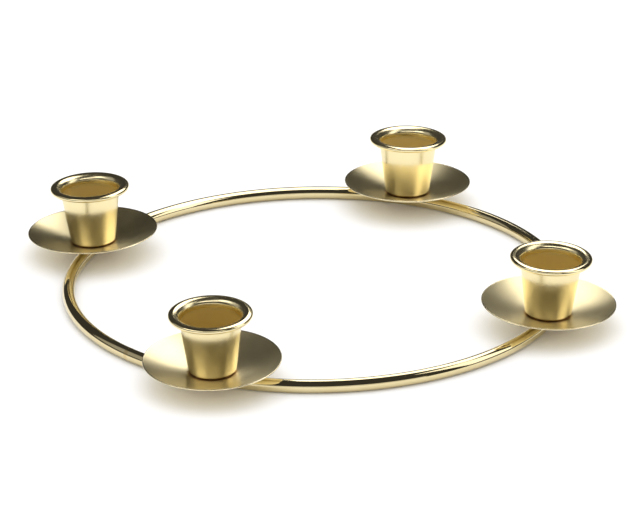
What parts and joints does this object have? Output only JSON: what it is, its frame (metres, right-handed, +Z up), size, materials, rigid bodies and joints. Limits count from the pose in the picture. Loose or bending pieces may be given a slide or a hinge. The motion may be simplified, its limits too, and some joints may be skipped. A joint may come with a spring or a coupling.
{
  "type": "candle wreath frame",
  "caption": "Round brass wreath frame: a closed ring of round rod that carries candle cups in dished drip pans, each held by one screw.",
  "frame": {"origin": "on the ring's axis, on the plane that the ring rests on", "axes": "+Z up the ring's axis, +X from the axis to the first holder, +Y to the second"},
  "size_m": [0.3144, 0.3144, 0.0387],
  "materials": {
    "polished_brass": "polished and clear lacquered, with sharp reflections",
    "satin_brass_pan": "satin, spun and lightly brushed",
    "satin_brass_cup": "satin, drawn and brushed up the wall, with a burnished rim",
    "zinc_steel": "bright zinc plate"
  },
  "bodies": {
    "root": {"ring_rod": "polished_brass", "drip_pan_1": "satin_brass_pan", "candle_cup_1": "satin_brass_cup", "screw_washer_1": "zinc_steel", "cup_screw_1": "zinc_steel", "drip_pan_2": "satin_brass_pan", "candle_cup_2": "satin_brass_cup", "screw_washer_2": "zinc_steel", "cup_screw_2": "zinc_steel", "drip_pan_3": "satin_brass_pan", "candle_cup_3": "satin_brass_cup", "screw_washer_3": "zinc_steel", "cup_screw_3": "zinc_steel", "drip_pan_4": "satin_brass_pan", "candle_cup_4": "satin_brass_cup", "screw_washer_4": "zinc_steel", "cup_screw_4": "zinc_steel"}
  },
  "joints": []
}
